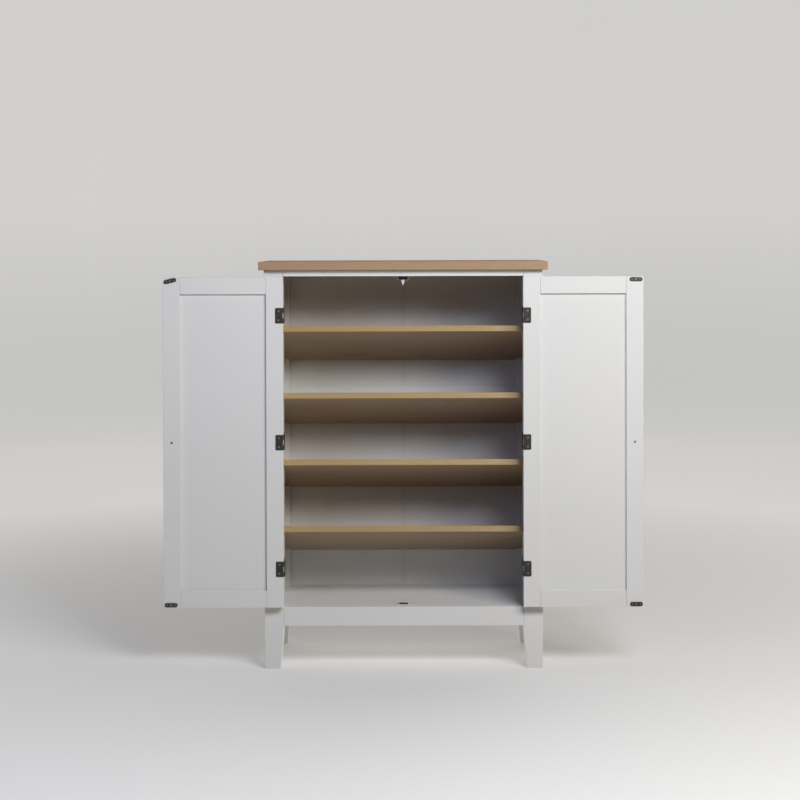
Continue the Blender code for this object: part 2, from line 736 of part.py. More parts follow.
def make_catches():
    """Magnetic catches in the middle, behind the strike plates of the closed doors."""
    base = TOP_CATCH_BASE / 2
    bar = TOP_CATCH_BAR[0] / 2
    nose = TOP_CATCH_NOSE[0] / 2
    ceiling = OPENING_TOP - GAP
    base_low = ceiling - CATCH_BASE_THICK
    bar_low = base_low - TOP_CATCH_BAR[1]
    right_half = [(base, ceiling), (base, base_low), (bar, base_low), (bar, bar_low), (nose, bar_low)]
    tip = (0, bar_low - TOP_CATCH_NOSE[1])
    outline = [*right_half, tip] + [(-x, z) for x, z in reversed(right_half)]
    mesh = prism("top_catch", outline, "y", CATCH_FRONT, CATCH_FRONT + CATCH_DEPTH)
    place("top_catch", mesh, PLASTIC, (0, depth_to_y(0), 0))

    base = LOW_CATCH_BASE / 2
    bar = LOW_CATCH_BAR[0] / 2
    floor = FLOOR_TOP + GAP
    base_high = floor + CATCH_BASE_THICK
    right_half = [(base, floor), (base, base_high), (bar, base_high), (bar, base_high + LOW_CATCH_BAR[1])]
    outline = right_half + [(-x, z) for x, z in reversed(right_half)]
    mesh = prism("bottom_catch", outline, "y", CATCH_FRONT, CATCH_FRONT + CATCH_DEPTH)
    place("bottom_catch", mesh, PLASTIC, (0, depth_to_y(0), 0))


def main():
    for item in list(bpy.data.objects):
        bpy.data.objects.remove(item)
    for side in SIDE_NAMES:
        make_side(side)
    make_rails_and_top()
    make_back()
    make_boards()
    make_catches()
    meshes = {"hinge": hinge_meshes(), "knob": knob_mesh(), "strike": strike_mesh()}
    for side in SIDE_NAMES:
        make_door(side, meshes)


main()
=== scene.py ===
"""Looks of the two-door shoe cabinet: paint, oak, metal and plastic, the small fittings, light and camera.

Metres, +Z up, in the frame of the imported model. A person in front of the cabinet stands at -Y. At rest both
doors are swung right back, so their inner faces are the ones that face the camera.
"""

import json
import math

import bmesh
import bpy
from mathutils import Matrix, Vector


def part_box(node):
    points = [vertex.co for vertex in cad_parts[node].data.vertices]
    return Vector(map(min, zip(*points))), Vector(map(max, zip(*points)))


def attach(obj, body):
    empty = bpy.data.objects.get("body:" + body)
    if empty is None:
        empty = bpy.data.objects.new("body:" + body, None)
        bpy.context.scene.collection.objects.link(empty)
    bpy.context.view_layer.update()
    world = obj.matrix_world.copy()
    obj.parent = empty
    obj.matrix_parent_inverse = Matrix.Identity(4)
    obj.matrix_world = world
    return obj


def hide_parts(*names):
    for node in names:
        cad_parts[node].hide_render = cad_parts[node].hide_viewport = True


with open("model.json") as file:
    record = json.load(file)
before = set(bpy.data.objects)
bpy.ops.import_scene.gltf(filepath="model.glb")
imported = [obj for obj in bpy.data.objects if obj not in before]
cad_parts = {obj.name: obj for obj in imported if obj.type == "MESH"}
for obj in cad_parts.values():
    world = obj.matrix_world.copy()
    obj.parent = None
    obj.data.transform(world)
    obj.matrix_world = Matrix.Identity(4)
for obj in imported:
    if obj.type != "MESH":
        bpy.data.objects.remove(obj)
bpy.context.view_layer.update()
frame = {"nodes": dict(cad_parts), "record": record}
NODES = frame["nodes"]
SIDES = {"left": -1, "right": 1}
HINGE_NUMBERS = (1, 2, 3)
SLOTS = {entry["node"]: entry["material_slot"] for entry in frame["record"]["subparts"]}

# Camera. Its distance is measured from the front of the legs
CAMERA_DISTANCE = 4.89
CAMERA_HEIGHT = 1.257
CAMERA_PITCH = math.radians(0.6)
CAMERA_ROLL = math.radians(0.152)
LENS = 74.8
SENSOR = 36.0
SHIFT = (-0.0036, -0.1756)

# Studio
FLOOR_RADIUS = 7.0
SWEEP_RADIUS = 1.5
WALL_HEIGHT = 4.0
STUDIO_COLOUR = (0.64, 0.64, 0.635, 1.0)
GLOW_COLOUR = (1.0, 0.998, 0.99, 1.0)
NEAR_GLOW = 0.16
FAR_GLOW = 0.46  # higher, because the lamps hardly reach there
GLOW_START = 0.4  # distances from the middle of the floor, between which the glow grows
GLOW_END = 3.2

# Light
LIGHT_TARGET = (0.0, 0.0, 0.75)
SKY_COLOUR = (1.0, 0.945, 0.885, 1.0)
FROM_BELOW = 0.55
FROM_ABOVE = 0.03
FROM_BEHIND = 0.55

# Screws
HEAD_RADIUS = 0.0028
HEAD_CONE = 0.0013
RECESS_ARM = 0.0017
RECESS_WIDTH = 0.0007
RECESS_DEPTH = 0.0009
RECESS_EASE = 0.0001

# Hinges and strike plates
HINGE_SCREW_INSET = 0.0098  # from the leaf's far edge
HINGE_SCREW_SPREAD = 0.013  # up and down from the middle of the leaf
PLATE_EASE = 0.0003
PIP_SPREAD = 0.0115  # to each side of the middle of the plate
PIP_RADIUS = 0.0017
PIP_SINK = 0.0004
PIP_HEIGHT = 0.00028

# Catches. The widths are from the middle to one side
CATCH_BASE_THICK = 0.002
TOP_BAR_HEIGHT = 0.0094
TOP_BAR_HALF = 0.0138
NOSE_HALF = 0.0065
NOSE_TIP_HALF = 0.0003
HOUSING_HALF = 0.0150
LOW_BAR_HALF = 0.0136
LOW_BAR_DEPTH = 0.006
LOW_SCREW_SPREAD = 0.0200

# Meshes
SHARP_ANGLE = 35  # degrees between two faces, from which their edge counts as sharp

# Oak without staves: its figure changes after each such height
BOARD_BAND = 0.15


# Node trees


class Graph:
    """Short calls for building the nodes of a material, or of the sky."""

    def __init__(self, name, kind="materials", shader="Principled BSDF", place="Object"):
        self.result = getattr(bpy.data, kind).new(name)
        self.result.use_nodes = True
        self.tree = self.result.node_tree
        self.shader = self.tree.nodes[shader]
        self.place = self.add("ShaderNodeTexCoord").outputs[place]

    def feed(self, socket, value):
        if isinstance(value, bpy.types.NodeSocket):
            self.tree.links.new(value, socket)
        else:
            socket.default_value = value

    def add(self, kind, inputs=None, **settings):
        node = self.tree.nodes.new(kind)
        for name, value in settings.items():
            setattr(node, name, value)
        for key, value in (inputs or {}).items():
            self.feed(node.inputs[key], value)
        return node

    def set(self, **inputs):
        """Feeds the shader. A socket's name is written with _ for each space."""
        for name, value in inputs.items():
            self.feed(self.shader.inputs[name.replace("_", " ")], value)

    def stretched(self, scale, vector=None):
        inputs = {"Vector": vector or self.place, "Scale": scale}
        return self.add("ShaderNodeMapping", inputs).outputs[0]

    def noise(self, scale, detail=2.0, roughness=0.5, vector=None):
        inputs = {
            "Vector": vector or self.place,
            "Scale": scale,
            "Detail": detail,
            "Roughness": roughness,
        }
        return self.add("ShaderNodeTexNoise", inputs).outputs["Fac"]

    def math(self, operation, first, second=0.0, third=0.0):
        return self.add("ShaderNodeMath", {0: first, 1: second, 2: third}, operation=operation).outputs[0]

    def remap(self, value, low, high, new_low, new_high, easing="LINEAR"):
        inputs = {0: value, 1: low, 2: high, 3: new_low, 4: new_high}
        return self.add("ShaderNodeMapRange", inputs, interpolation_type=easing).outputs[0]

    def mix(self, factor, first, second, blend="MIX"):
        node = self.add("ShaderNodeMix", data_type="RGBA", blend_type=blend)
        for index, value in ((0, factor), (6, first), (7, second)):
            self.feed(node.inputs[index], value)
        return node.outputs[2]

    def ramp(self, value, stops):
        node = self.add("ShaderNodeValToRGB", {0: value})
        elements = node.color_ramp.elements
        while len(elements) < len(stops):
            elements.new(0.5)
        for element, (position, colour) in zip(elements, stops):
            element.position = position
            element.color = colour
        return node.outputs[0]

    def bump(self, height, distance, normal=None):
        inputs = {"Height": height, "Distance": distance}
        if normal is not None:
            inputs["Normal"] = normal
        return self.add("ShaderNodeBump", inputs).outputs[0]


def grey(value):
    return (value, value, value, 1.0)


def rgb(red, green, blue):
    return (red, green, blue, 1.0)


# Materials


def make_paint(name, colour, roughness):
    """Sprayed satin paint on wood: faint orange peel, a slow change of tone, and painted shade in the
    corners.
    """
    graph = Graph(name)
    tone = graph.remap(graph.noise(3.0, 3.0), 0.3, 0.7, 0.975, 1.0)
    speckle = graph.remap(graph.noise(420.0, 2.0), 0.35, 0.65, 0.992, 1.0)
    shade = graph.math("MULTIPLY", tone, speckle)
    base = graph.mix(1.0, colour, shade, "MULTIPLY")
    # Painted shade: a greyish colour mixed into the paint where ambient occlusion finds corners and joins
    # between parts
    corner = graph.add("ShaderNodeAmbientOcclusion", {"Distance": 0.006}, samples=8).outputs["AO"]
    painted_corner_shade = graph.remap(corner, 0.35, 0.9, 0.75, 0.0)
    paint_with_corner_shade = graph.mix(graph.math("MULTIPLY", painted_corner_shade, 0.35), base, rgb(0.42, 0.40, 0.37))
    peel = graph.noise(650.0, 2.0, 0.55)
    swell = graph.noise(90.0, 2.0)
    normal = graph.bump(peel, 0.00004)
    normal = graph.bump(swell, 0.00012, normal)
    gloss = graph.remap(graph.noise(35.0, 3.0), 0.3, 0.7, roughness - 0.04, roughness + 0.05)
    graph.set(Base_Color=paint_with_corner_shade, Roughness=gloss, Normal=normal, Specular_IOR_Level=0.45)
    return graph.result


def make_oak(name, light, dark, stave=None, lipping=None):
    """Oak with its grain along X: growth rings round a far heart, pores, and staves across Y if given.

    A lipping is a strip of solid wood along the front: the y where it ends, and its own two colours.
    """
    rings_per_metre = 210.0
    pore_colour = rgb(0.13, 0.075, 0.04)
    joint_colour = rgb(0.12, 0.07, 0.04)
    graph = Graph(name)
    axes = graph.add("ShaderNodeSeparateXYZ", {0: graph.place})
    along, over, up = axes.outputs
    place, width = (over, stave) if stave else (up, BOARD_BAND)
    index = graph.math("FLOOR", graph.math("DIVIDE", place, width))
    chance = graph.add("ShaderNodeTexWhiteNoise", {"W": index}, noise_dimensions="1D").outputs["Value"]
    shift = graph.math("MULTIPLY", chance, 3.1)
    moved_along = graph.math("ADD", along, shift)
    shifted = graph.add("ShaderNodeCombineXYZ", {0: moved_along, 1: over, 2: up}).outputs[0]

    warp = graph.noise(1.0, 3.0, 0.5, graph.stretched((1.6, 9.0, 9.0), shifted))
    ripple = graph.noise(1.0, 2.0, 0.5, graph.stretched((7.0, 60.0, 60.0), shifted))
    across_heart = graph.math("SUBTRACT", over, graph.math("MULTIPLY", chance, 0.05))
    below_heart = graph.math("ADD", up, graph.remap(chance, 0.0, 1.0, 0.03, 0.09))
    square_across = graph.math("POWER", across_heart, 2.0)
    square_below = graph.math("POWER", below_heart, 2.0)
    radius = graph.math("SQRT", graph.math("ADD", square_across, square_below))
    radius = graph.math("MULTIPLY_ADD", warp, 0.045, radius)
    radius = graph.math("MULTIPLY_ADD", ripple, 0.0022, radius)
    ring = graph.math("FRACT", graph.math("MULTIPLY", radius, rings_per_metre))
    ring_tones = [(0.0, grey(0.25)), (0.55, grey(0.45)), (0.93, grey(1.0)), (1.0, grey(0.25))]
    late_wood = graph.ramp(ring, ring_tones)

    fibre = graph.noise(1.0, 4.0, 0.6, graph.stretched((22.0, 900.0, 900.0), shifted))
    pores = graph.noise(1.0, 2.0, 0.5, graph.stretched((70.0, 2100.0, 2100.0), shifted))
    pore = graph.remap(pores, 0.60, 0.72, 0.0, 1.0)
    cloud = graph.noise(1.0, 2.0, 0.5, graph.stretched((3.0, 14.0, 14.0), shifted))
    depth = graph.math("MULTIPLY_ADD", fibre, 0.55, graph.math("MULTIPLY", late_wood, 0.38))
    depth = graph.math("MULTIPLY_ADD", cloud, 0.35, depth)
    depth = graph.math("MULTIPLY_ADD", chance, 0.16, depth)
    grain = graph.remap(depth, 0.35, 1.0, 0.0, 1.0)
    wood = graph.mix(grain, light, dark)
    if lipping:
        seam, lip_light, lip_dark = lipping
        in_front = graph.remap(over, seam - 0.0002, seam + 0.0002, 1.0, 0.0)
        wood = graph.mix(in_front, wood, graph.mix(grain, lip_light, lip_dark))
    wood = graph.mix(graph.math("MULTIPLY", pore, 0.42), wood, pore_colour)
    normal = graph.bump(graph.math("SUBTRACT", 1.0, pore), 0.00010)
    normal = graph.bump(late_wood, 0.00004, normal)
    gloss = graph.remap(fibre, 0.3, 0.7, 0.40, 0.56)
    if stave:
        to_joint = graph.math("PINGPONG", graph.math("ADD", over, stave), stave / 2)
        joint = graph.remap(to_joint, 0.0, 0.0004, 1.0, 0.0)
        wood = graph.mix(graph.math("MULTIPLY", joint, 0.35), wood, joint_colour)
    graph.set(Base_Color=wood, Roughness=gloss, Normal=normal, Specular_IOR_Level=0.4)
    return graph.result


def make_steel(name, colour, worn, roughness, metallic):
    """Coated or bare steel with a fine brushed grain, and paler where edges have rubbed."""
    graph = Graph(name)
    scratches = graph.noise(1.0, 3.0, 0.6, graph.stretched((400.0, 400.0, 4200.0)))
    mottle = graph.noise(240.0, 3.0)
    flat = graph.add("ShaderNodeNewGeometry").outputs["Normal"]
    rounded = graph.add("ShaderNodeBevel", {"Radius": 0.0005}, samples=6).outputs[0]
    likeness = graph.add("ShaderNodeVectorMath", {0: flat, 1: rounded}, operation="DOT_PRODUCT")
    edge = graph.remap(likeness.outputs["Value"], 0.80, 0.985, 0.75, 0.0)
    rub = graph.math("MULTIPLY", edge, graph.remap(mottle, 0.35, 0.6, 0.2, 1.0))
    tinted = graph.mix(graph.remap(mottle, 0.3, 0.7, 0.0, 0.35), colour, worn)
    base = graph.mix(rub, tinted, worn)
    gloss = graph.remap(scratches, 0.3, 0.7, roughness - 0.07, roughness + 0.10)
    normal = graph.bump(scratches, 0.00002, rounded)
    graph.set(Base_Color=base, Roughness=gloss, Metallic=metallic, Normal=normal)
    return graph.result


def make_plastic(name, colour, roughness):
    """Moulded plastic with a fine spark-eroded grain."""
    graph = Graph(name)
    grain = graph.noise(1500.0, 2.0, 0.6)
    tone = graph.remap(graph.noise(60.0, 2.0), 0.3, 0.7, 0.96, 1.0)
    normal = graph.bump(grain, 0.00003)
    gloss = graph.remap(grain, 0.3, 0.7, roughness - 0.05, roughness + 0.06)
    graph.set(Base_Color=graph.mix(1.0, colour, tone, "MULTIPLY"), Roughness=gloss, Normal=normal)
    return graph.result


PAINT = make_paint("satin_white_paint", rgb(0.80, 0.80, 0.79), 0.42)
TOP_OAK = make_oak("top_oak", rgb(0.505, 0.338, 0.207), rgb(0.330, 0.194, 0.106), stave=0.0925)
LIP_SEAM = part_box("shelf_1")[0].y + 0.012  # the lipping is 12 mm deep
LIPPING = (LIP_SEAM, rgb(0.512, 0.361, 0.169), rgb(0.361, 0.231, 0.094))
SHELF_OAK = make_oak("shelf_oak", rgb(0.464, 0.348, 0.245), rgb(0.327, 0.223, 0.136), lipping=LIPPING)
HINGE_STEEL = make_steel("dark_hinge_steel", rgb(0.050, 0.050, 0.044), rgb(0.24, 0.225, 0.20), 0.42, 0.7)
STRIKE_STEEL = make_steel("strike_plate_steel", rgb(0.075, 0.075, 0.067), rgb(0.30, 0.285, 0.25), 0.38, 0.75)
SCREW_STEEL = make_steel("screw_steel", rgb(0.30, 0.29, 0.26), rgb(0.50, 0.49, 0.46), 0.34, 0.85)
KNOB_STEEL = make_steel("knob_steel", rgb(0.40, 0.39, 0.37), rgb(0.62, 0.61, 0.58), 0.28, 1.0)
ZINC_STEEL = make_steel("zinc_plated_steel", rgb(0.62, 0.61, 0.58), rgb(0.80, 0.79, 0.76), 0.36, 0.45)
MAGNET = make_steel("magnet_bar", rgb(0.035, 0.035, 0.038), rgb(0.10, 0.10, 0.10), 0.5, 0.3)
PLASTIC = make_plastic("white_plastic", rgb(0.76, 0.76, 0.75), 0.38)
SLOT_LOOKS = {
    "white_paint": PAINT,
    "oak": SHELF_OAK,
    "dark_steel": HINGE_STEEL,
    "strike_steel": STRIKE_STEEL,
    "knob_steel": KNOB_STEEL,
    "white_plastic": PLASTIC,
}


def dress(obj, material):
    obj.data.materials.clear()
    obj.data.materials.append(material)


def dress_frame():
    """Gives each CAD node the material of its slot. The top board has the oak in staves."""
    for node, slot in SLOTS.items():
        dress(NODES[node], SLOT_LOOKS[slot])
    dress(NODES["top_board"], TOP_OAK)


# Meshes for the fittings


def mesh_from(name, bm):
    """A mesh with its faces turned outwards. The bmesh is freed."""
    bmesh.ops.recalc_face_normals(bm, faces=bm.faces)
    mesh = bpy.data.meshes.new(name)
    bm.to_mesh(mesh)
    bm.free()
    return mesh


def smooth(mesh, angle=SHARP_ANGLE):
    mesh.shade_smooth()
    mesh.set_sharp_from_angle(angle=math.radians(angle))
    return mesh


def turned(name, profile, segments):
    """A profile of (radius, height) points turned about Z. A radius of 0 closes the end."""
    bm = bmesh.new()
    rings = []
    for radius, height in profile:
        count = 1 if radius == 0 else segments
        angles = [2 * math.pi * step / segments for step in range(count)]
        rings.append([bm.verts.new((radius * math.cos(a), radius * math.sin(a), height)) for a in angles])
    for low, high in zip(rings, rings[1:]):
        for step in range(segments):
            after = (step + 1) % segments
            corners = [low[step % len(low)], low[after % len(low)]]
            corners += [high[after % len(high)], high[step % len(high)]]
            bm.faces.new(tuple(dict.fromkeys(corners)))
    return mesh_from(name, bm)


def arc(centre, radius, start, end, steps):
    """Points round a centre, from one angle to another in degrees."""
    angles = [math.radians(start + (end - start) * step / steps) for step in range(steps + 1)]
    return [(centre[0] + radius * math.cos(a), centre[1] + radius * math.sin(a)) for a in angles]


def block(name, low, high, ease=0.0003, segments=3):
    """A rectangular piece with rounded edges, its origin in its middle."""
    size = Vector(high) - Vector(low)
    bm = bmesh.new()
    bmesh.ops.create_cube(bm, size=1, matrix=Matrix.Diagonal((*size, 1)))
    bmesh.ops.bevel(
        bm, geom=bm.edges, offset=ease, segments=segments, profile=0.5, affect="EDGES", clamp_overlap=True
    )
    obj = add_object(name, smooth(mesh_from(name, bm), 50))
    obj.location = (Vector(high) + Vector(low)) / 2
    return obj


def extruded(name, outline, low, high, ease=0.0003):
    """An outline of (x, z) points extruded along Y, with its edges eased."""
    bm = bmesh.new()
    rings = [[bm.verts.new((x, y, z)) for x, z in outline] for y in (low, high)]
    for ring in rings:
        bm.faces.new(ring)
    for index in range(len(outline)):
        after = (index + 1) % len(outline)
        bm.faces.new((rings[0][index], rings[0][after], rings[1][after], rings[1][index]))
    obj = add_object(name, mesh_from(name, bm))
    round_edges(obj, ease)
    return obj


def add_object(name, data):
    obj = bpy.data.objects.new(name, data)
    bpy.context.scene.collection.objects.link(obj)
    return obj


def round_edges(obj, width, segments=3):
    bevel = obj.modifiers.new("rounded", "BEVEL")
    bevel.width = width
    bevel.segments = segments
    bevel.limit_method = "ANGLE"
    bevel.angle_limit = math.radians(SHARP_ANGLE)


def cut(obj, cutter):
    modifier = obj.modifiers.new("cut", "BOOLEAN")
    modifier.operation = "DIFFERENCE"
    modifier.object = cutter


def apply_modifiers(obj, *helpers):
    """Makes the object's evaluated mesh its own, and removes the helpers that it used."""
    graph = bpy.context.evaluated_depsgraph_get()
    mesh = bpy.data.meshes.new_from_object(obj.evaluated_get(graph))
    mesh.name = obj.name
    obj.modifiers.clear()
    obj.data = smooth(mesh)
    for helper in helpers:
        bpy.data.objects.remove(helper)


# Screws


def screw_mesh():
    """A countersunk head with a cross recess, its flat top at z = 0 and its cone below."""
    crown = 0.00025
    profile = [(0, -HEAD_CONE), (HEAD_RADIUS * 0.55, -HEAD_CONE), (HEAD_RADIUS, -crown)]
    profile += [(HEAD_RADIUS * 0.97, 0), (HEAD_RADIUS * 0.6, crown * 0.8), (0, crown)]
    head = add_object("screw_head", turned("screw_head", profile, 32))
    cutters = []
    for half_x, half_y in ((RECESS_ARM, RECESS_WIDTH / 2), (RECESS_WIDTH / 2, RECESS_ARM)):
        low = (-half_x, -half_y, -RECESS_DEPTH)
        high = (half_x, half_y, HEAD_CONE)
        cutters.append(block("recess", low, high, RECESS_EASE, 1))
        cut(head, cutters[-1])
    apply_modifiers(head, *cutters)
    mesh = head.data
    bpy.data.objects.remove(head)
    mesh.materials.append(SCREW_STEEL)
    return mesh


SCREW = screw_mesh()


def add_screw(name, place, facing, body, turn=0.0, scale=1.0):
    """A screw whose head lies flush at a place and faces along a direction, turned on its own axis."""
    screw = add_object(name, SCREW)
    spin = Matrix.Rotation(turn, 4, "Z")
    screw.matrix_world = placed(place, facing) @ spin @ Matrix.Scale(scale, 4)
    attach(screw, body)
    return screw


def placed(place, facing):
    """The matrix that takes the origin to a place and turns Z to a direction."""
    return Matrix.Translation(place) @ Vector(facing).to_track_quat("Z", "Y").to_matrix().to_4x4()


def countersink(place, facing):
    """A cutter for a screw's seat, a little wider than its head."""
    wide = HEAD_RADIUS + 0.0003
    narrow = HEAD_RADIUS * 0.5
    above = 0.002
    below = 0.004
    profile = [(0, -below), (narrow, -below), (narrow, -HEAD_CONE), (wide, 0), (wide, above), (0, above)]
    cutter = add_object("countersink", turned("countersink", profile, 28))
    cutter.matrix_world = placed(place, facing)
    return cutter


def refined_plate(node, body, material, seats):
    """Stands for a stamped steel node: its own shape with rounded edges and countersunk holes."""
    name = f"{node}_plate"
    obj = add_object(name, NODES[node].data.copy())
    dress(obj, material)
    cutters = [countersink(place, facing) for place, facing in seats]
    for cutter in cutters:
        cut(obj, cutter)
    apply_modifiers(obj, *cutters)
    weld(obj.data)
    round_edges(obj, PLATE_EASE, 2)
    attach(obj, body)
    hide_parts(node)
    return obj


def weld(mesh):
    """Joins the points that a cut has left on top of each other, and the faces that lie in one plane."""
    bm = bmesh.new()
    bm.from_mesh(mesh)
    bmesh.ops.remove_doubles(bm, verts=bm.verts, dist=0.000002)
    bmesh.ops.dissolve_limit(bm, angle_limit=math.radians(1), verts=bm.verts, edges=bm.edges)
    bm.to_mesh(mesh)
    bm.free()
    smooth(mesh)


# Hinges


def make_hinge(side, number):
    """Both leaves with their screws: on the door's inner face, and on the leg's face in the opening."""
    sign = SIDES[side]
    name = f"{side}_hinge_{number}"
    low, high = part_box(f"{name}_door_leaf")
    middle = (low.z + high.z) / 2
    heights = [middle + step * HINGE_SCREW_SPREAD for step in (-1, 1)]
    far_x = high.x if sign > 0 else low.x
    places = [Vector((far_x - sign * HINGE_SCREW_INSET, low.y, height)) for height in heights]
    make_leaf(f"{name}_door", f"{side}_door", places, (0, -1, 0), [0.4 * number, 0.7 + 0.4 * number])

    plate_x = leaf_face(f"{name}_frame_leaf", sign)
    far_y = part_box(f"{name}_frame_leaf")[1].y
    places = [Vector((plate_x, far_y - HINGE_SCREW_INSET, height)) for height in heights]
    make_leaf(f"{name}_frame", "carcass", places, (-sign, 0, 0), [0.9 * number, 0.5 + 0.9 * number])


def make_leaf(name, body, places, facing, turns):
    """One leaf with a screw at each place, each screw turned by its own angle."""
    refined_plate(f"{name}_leaf", body, HINGE_STEEL, [(place, facing) for place in places])
    for number, (place, turn) in enumerate(zip(places, turns), 1):
        add_screw(f"{name}_screw_{number}", place, facing, body, turn)


def leaf_face(node, sign):
    """x of the face of the frame leaf's plate that looks into the opening."""
    low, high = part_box(node)
    plate = [vertex.co.x for vertex in NODES[node].data.vertices if vertex.co.y > high.y - 0.004]
    return min(plate) if sign > 0 else max(plate)


# Strike plates


def make_strike(side, end):
    """The plate with one screw in its middle and a pip pressed in near each end."""
    node = f"{side}_{end}_strike"
    low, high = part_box(node)
    centre = (low + high) / 2
    face = Vector((centre.x, low.y, centre.z))
    refined_plate(node, f"{side}_door", STRIKE_STEEL, [(face, (0, -1, 0))])
    add_screw(f"{node}_screw", face, (0, -1, 0), f"{side}_door", 0.3)
    tilt = strike_tilt(node)
    for step in (-1, 1):
        spot = face + Vector((step * math.cos(tilt), 0, step * math.sin(tilt))) * PIP_SPREAD
        pip = add_object(f"{node}_pip_{'a' if step < 0 else 'b'}", smooth(pip_mesh()))
        pip.matrix_world = Matrix.Translation(spot) @ Matrix.Rotation(math.pi / 2, 4, "X")
        dress(pip, SCREW_STEEL)
        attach(pip, f"{side}_door")


def strike_tilt(node):
    """The plate's turn in its own plane, from where its two ends are."""
    points = [vertex.co for vertex in NODES[node].data.vertices]
    left_end = min(points, key=lambda point: point.x)
    right_end = max(points, key=lambda point: point.x)
    return math.atan2(right_end.z - left_end.z, right_end.x - left_end.x)


def pip_mesh():
    """A flattened dome that starts a little inside the plate."""
    profile = [(0, -PIP_SINK), (PIP_RADIUS, -PIP_SINK), *arc((0, -PIP_SINK), PIP_RADIUS, 20, 80, 5)]
    flattened = [(radius, max(-PIP_SINK, height * 0.35)) for radius, height in profile]
    return turned("strike_pip", [*flattened, (0, PIP_HEIGHT)], 24)


# Knobs


def make_knob(side):
    """The turned knob on the door's outer face, and the end of its screw on the inner face."""
    node = f"{side}_knob"
    low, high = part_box(node)
    stile_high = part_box(f"{side}_door_meeting_stile")[1].y
    centre = Vector(((low.x + high.x) / 2, stile_high, (low.z + high.z) / 2))
    length = high.y - stile_high
    radius = (high.x - low.x) / 2
    # A round foot, a neck, and a head with a bulging rim and a flat middle
    profile = [(0, 0.0003), (0.0085, 0.0003), (0.0088, 0.0008), (0.0088, 0.0014), (0.0082, 0.0019)]
    profile += [(0.0064, 0.0040), (0.0056, 0.0072), (0.0056, 0.0098), (0.0068, 0.0120)]
    bulge = radius / 2
    profile += arc((radius - bulge, length - bulge), bulge, -62, 62, 14)
    profile += [(radius * 0.52, length - 0.0004), (radius * 0.25, length), (0, length)]
    knob = add_object(f"{node}_turned", smooth(turned("knob", profile, 64), 40))
    knob.matrix_world = Matrix.Translation(centre) @ Matrix.Rotation(-math.pi / 2, 4, "X")
    dress(knob, KNOB_STEEL)
    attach(knob, f"{side}_door")
    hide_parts(node)
    inner = Vector((centre.x, low.y + 0.0004, centre.z))
    add_screw(f"{node}_screw", inner, (0, -1, 0), f"{side}_door", 0.6, 1.12)


# Catches


def make_catch(name, parts, screws, facing):
    """Replaces a catch node by its parts. Each part is (suffix, object, material)."""
    body = "carcass"
    for suffix, obj, material in parts:
        obj.name = f"{name}_{suffix}"
        dress(obj, material)
        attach(obj, body)
        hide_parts(name)
    for index, place in enumerate(screws):
        add_screw(f"{name}_screw_{index + 1}", place, facing, body, 0.5 * index + 0.2, 0.8)


def make_top_catch():
    """A white base under the top rail, a dark magnet bar between steel poles, and a pointed white nose."""
    low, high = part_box("top_catch")
    base_low = high.z - CATCH_BASE_THICK
    bar_low = base_low - TOP_BAR_HEIGHT
    base = block("base", (low.x, low.y + 0.0035, base_low), high, 0.0005)
    bar_front = (-TOP_BAR_HALF, low.y, bar_low + 0.0006)
    bar_back = (TOP_BAR_HALF, high.y - 0.001, base_low)
    bar = block("bar", bar_front, bar_back, 0.0005)
    parts = [("base", base, PLASTIC), ("magnet", bar, MAGNET)]
    for sign in (-1, 1):
        # Down the outer side of the pole, inwards under the bar, and back up beside it
        outline = [(0.0141, base_low + 0.0004), (0.0166, base_low + 0.0004), (0.0166, bar_low + 0.0030)]
        outline += [(0.0156, bar_low - 0.0002), (0.0118, bar_low - 0.0024), (0.0110, bar_low - 0.0004)]
        outline += [(0.0136, bar_low + 0.0012), (0.0141, bar_low + 0.0034)]
        mirrored = [(sign * x, z) for x, z in outline]
        pole = extruded("pole", mirrored, low.y, high.y - 0.002, 0.0002)
        parts.append((f"pole_{'left' if sign < 0 else 'right'}", pole, ZINC_STEEL))
    nose_top = bar_low + 0.0008
    outline = [(-NOSE_HALF, nose_top), (NOSE_HALF, nose_top)]
    outline += [(NOSE_TIP_HALF, low.z), (-NOSE_TIP_HALF, low.z)]
    nose_back = low.y + (high.y - low.y) * 0.6
    nose = extruded("nose", outline, low.y + 0.001, nose_back, 0.0002)
    parts.append(("nose", nose, PLASTIC))
    make_catch("top_catch", parts, [], (0, 0, -1))


def make_bottom_catch():
    """A low white housing on the floor board with an ear and a screw each side of the magnet bar."""
    low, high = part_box("bottom_catch")
    base_high = low.z + CATCH_BASE_THICK
    base = block("base", low, (high.x, high.y, base_high), 0.0006)
    housing_low = (-HOUSING_HALF, low.y + 0.0012, base_high - 0.0005)
    housing_high = (HOUSING_HALF, high.y - 0.002, high.z)
    housing = block("housing", housing_low, housing_high, 0.0006)
    bar_low = (-LOW_BAR_HALF, low.y, base_high + 0.0004)
    bar_high = (LOW_BAR_HALF, low.y + LOW_BAR_DEPTH, high.z - 0.0009)
    bar = block("bar", bar_low, bar_high, 0.0003)
    parts = [("base", base, PLASTIC), ("housing", housing, PLASTIC), ("magnet", bar, MAGNET)]
    middle_y = (low.y + high.y) / 2
    screws = [Vector((sign * LOW_SCREW_SPREAD, middle_y, base_high + 0.0001)) for sign in (-1, 1)]
    make_catch("bottom_catch", parts, screws, (0, 0, 1))


# Studio


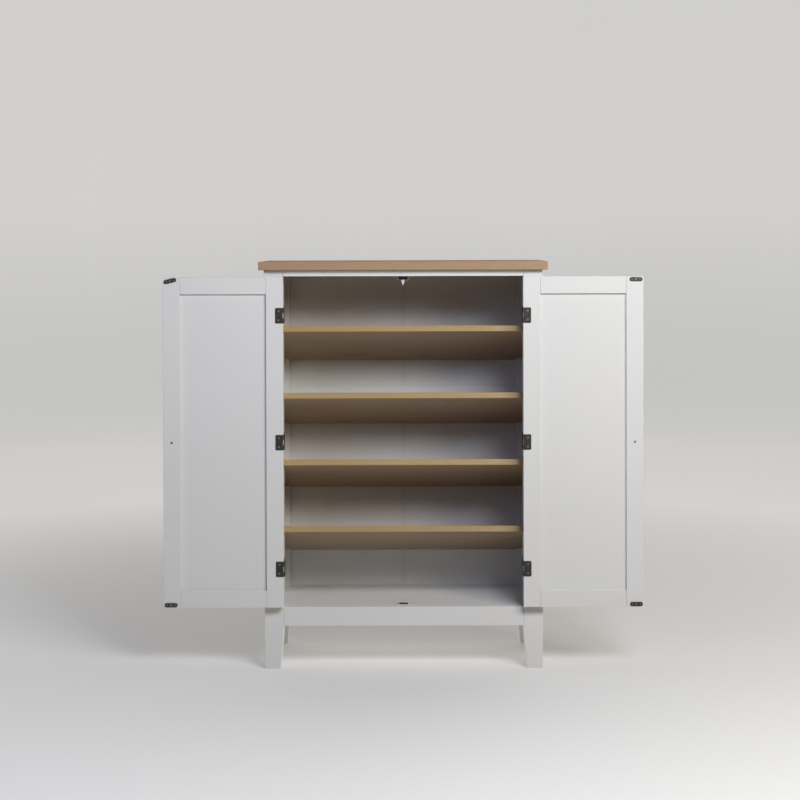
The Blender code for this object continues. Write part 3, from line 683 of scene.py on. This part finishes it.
def make_studio():
    """A round pale floor that sweeps up into a wall. It neither shades the cabinet nor lights it."""
    corner = (FLOOR_RADIUS - SWEEP_RADIUS, SWEEP_RADIUS)
    profile = [(0, 0), (1.0, 0), (3.0, 0)]
    profile += [*arc(corner, SWEEP_RADIUS, -90, 0, 24), (FLOOR_RADIUS, WALL_HEIGHT)]
    floor = add_object("studio_floor", smooth(turned("studio_floor", profile, 96), 80))
    graph = Graph("studio_pale")
    tone = graph.remap(graph.noise(0.8, 3.0), 0.3, 0.7, 0.97, 1.0)
    distance = graph.add("ShaderNodeVectorMath", {0: graph.place}, operation="LENGTH").outputs["Value"]
    glow = graph.remap(distance, GLOW_START, GLOW_END, NEAR_GLOW, FAR_GLOW)
    graph.set(Base_Color=graph.mix(1.0, STUDIO_COLOUR, tone, "MULTIPLY"), Roughness=0.85)
    graph.set(Emission_Color=GLOW_COLOUR, Emission_Strength=glow)
    dress(floor, graph.result)
    floor.visible_diffuse = False
    floor.visible_glossy = False
    floor.visible_shadow = False


def add_area_light(name, place, size, power, colour):
    """A round soft box that looks at the middle of the cabinet and doesn't show itself."""
    light = bpy.data.lights.new(name, "AREA")
    light.shape = "DISK"
    light.size = size
    light.energy = power
    light.color = colour
    obj = add_object(name, light)
    obj.location = place
    obj.rotation_euler = (Vector(LIGHT_TARGET) - Vector(place)).to_track_quat("-Z", "Y").to_euler()
    obj.visible_camera = False


def make_lights():
    """Two soft boxes at the upper right, the nearer one cooler, and a weak fill at the upper left."""
    add_area_light("key_near", (1.0, -2.6, 2.6), size=1.2, power=58.0, colour=(0.84, 0.90, 1.0))
    add_area_light("key_far", (2.2, -2.4, 2.3), size=1.2, power=41.0, colour=(1.0, 0.89, 0.70))
    add_area_light("fill", (-1.8, -2.6, 2.2), size=1.5, power=11.0, colour=(0.56, 0.64, 1.0))


def make_sky():
    """Light returned by the room: even from below, a little from above in front, and more from behind."""
    graph = Graph("studio_sky", "worlds", "Background", "Generated")
    axes = graph.add("ShaderNodeSeparateXYZ", {0: graph.place})
    back = axes.outputs["Y"]
    up = axes.outputs["Z"]
    from_below = graph.remap(up, -0.45, -0.05, FROM_BELOW, 0.0, "SMOOTHSTEP")
    above = graph.remap(up, 0.35, 0.75, 0.0, FROM_ABOVE, "SMOOTHSTEP")
    in_front = graph.remap(back, -0.7, 0.1, 1.0, 0.0, "SMOOTHSTEP")
    from_behind = graph.remap(back, 0.0, 0.6, 0.0, FROM_BEHIND, "SMOOTHSTEP")
    strength = graph.math("MULTIPLY_ADD", above, in_front, graph.math("ADD", from_below, from_behind))
    graph.set(Color=SKY_COLOUR, Strength=strength)
    bpy.context.scene.world = graph.result


def make_camera():
    data = bpy.data.cameras.new("camera")
    data.lens = LENS
    data.sensor_width = SENSOR
    data.shift_x, data.shift_y = SHIFT
    camera = add_object("camera", data)
    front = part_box("front_leg_left")[0].y
    camera.location = (0.0, front - CAMERA_DISTANCE, CAMERA_HEIGHT)
    camera.rotation_euler = (math.pi / 2 - CAMERA_PITCH, CAMERA_ROLL, 0.0)
    bpy.context.scene.camera = camera


def make_fittings():
    for side in SIDES:
        for number in HINGE_NUMBERS:
            make_hinge(side, number)
        for end in ("top", "bottom"):
            make_strike(side, end)
        make_knob(side)
    make_top_catch()
    make_bottom_catch()


make_camera()
make_lights()
make_sky()
make_studio()
dress_frame()
make_fittings()
bpy.context.scene.view_settings.view_transform = "Standard"
